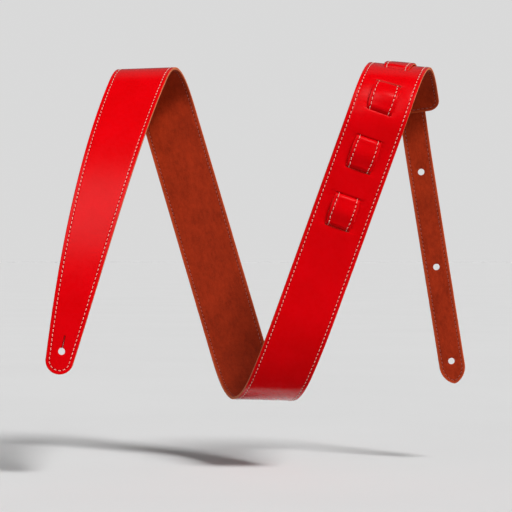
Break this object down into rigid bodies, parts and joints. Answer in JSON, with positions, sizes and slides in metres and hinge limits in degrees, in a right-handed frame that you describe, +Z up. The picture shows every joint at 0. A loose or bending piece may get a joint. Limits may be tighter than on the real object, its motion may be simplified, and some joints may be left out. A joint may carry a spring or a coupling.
{
  "type": "guitar strap",
  "caption": "Two-layer stitched leather guitar strap, folded into a hanging coil, with a tapered button end and a narrow adjusting tail laced through slots.",
  "frame": {"origin": "underside of the front crest on the centreline, where the folded strap hangs on a rail or hook", "axes": "+X to the right along the coil, +Y from the front legs to the rear ones, +Z up"},
  "size_m": [0.3701, 0.1609, 0.3007],
  "materials": {
    "red_leather": "gloss",
    "suede": "suede nap",
    "tail_red_leather": "gloss",
    "tail_suede": "suede nap",
    "top_thread": "waxed cream thread",
    "bobbin_thread": "waxed dark red thread"
  },
  "bodies": {
    "strap": {"front_fold_face": "red_leather", "front_fold_backing": "suede", "front_fold_top_thread": "top_thread", "front_fold_bobbin_thread": "bobbin_thread", "middle_run_face": "red_leather", "middle_run_backing": "suede", "middle_run_top_thread": "top_thread", "middle_run_bobbin_thread": "bobbin_thread", "bottom_fold_face": "red_leather", "bottom_fold_backing": "suede", "bottom_fold_top_thread": "top_thread", "bottom_fold_bobbin_thread": "bobbin_thread"},
    "front_end": {"front_tip_face": "red_leather", "front_tip_backing": "suede", "front_tip_top_thread": "top_thread", "front_tip_bobbin_thread": "bobbin_thread", "front_curve_face": "red_leather", "front_curve_backing": "suede", "front_curve_top_thread": "top_thread", "front_curve_bobbin_thread": "bobbin_thread"},
    "rear_run": {"rear_run_face": "red_leather", "rear_run_backing": "suede", "rear_run_top_thread": "top_thread", "rear_run_bobbin_thread": "bobbin_thread", "rear_crest_face": "red_leather", "rear_crest_backing": "suede", "rear_crest_top_thread": "top_thread", "rear_crest_bobbin_thread": "bobbin_thread", "tail_laced_face": "tail_red_leather", "tail_laced_backing": "tail_suede", "tail_laced_top_thread": "top_thread", "tail_laced_bobbin_thread": "bobbin_thread", "tail_crest_face": "tail_red_leather", "tail_crest_backing": "tail_suede", "tail_crest_top_thread": "top_thread", "tail_crest_bobbin_thread": "bobbin_thread", "tail_bend_face": "tail_red_leather", "tail_bend_backing": "tail_suede", "tail_bend_top_thread": "top_thread", "tail_bend_bobbin_thread": "bobbin_thread"},
    "tail_end": {"tail_end_face": "tail_red_leather", "tail_end_backing": "tail_suede", "tail_end_top_thread": "top_thread", "tail_end_bobbin_thread": "bobbin_thread"}
  },
  "joints": [
    {"name": "front_fold_hinge", "type": "hinge", "parent": "strap", "child": "front_end", "pos_m": [0.00401, 0.01485, -0.00178], "axis": [-0.9994, 0, -0.0349], "range_deg": [-15, 50], "deforming": ["front_fold_face", "front_fold_backing", "front_fold_top_thread", "front_fold_bobbin_thread"]},
    {"name": "bottom_fold_hinge", "type": "hinge", "parent": "strap", "child": "rear_run", "pos_m": [0.09861, -0.01292, -0.29319], "axis": [0.9997, -0.0037, -0.0261], "range_deg": [-15, 50], "deforming": ["bottom_fold_face", "bottom_fold_backing", "bottom_fold_top_thread", "bottom_fold_bobbin_thread"]},
    {"name": "tail_hinge", "type": "hinge", "parent": "rear_run", "child": "tail_end", "pos_m": [0.24295, 0, -0.06175], "axis": [0.9962, 0.0053, -0.0864], "range_deg": [-20, 45], "deforming": ["tail_bend_face", "tail_bend_backing", "tail_bend_top_thread", "tail_bend_bobbin_thread"]}
  ]
}
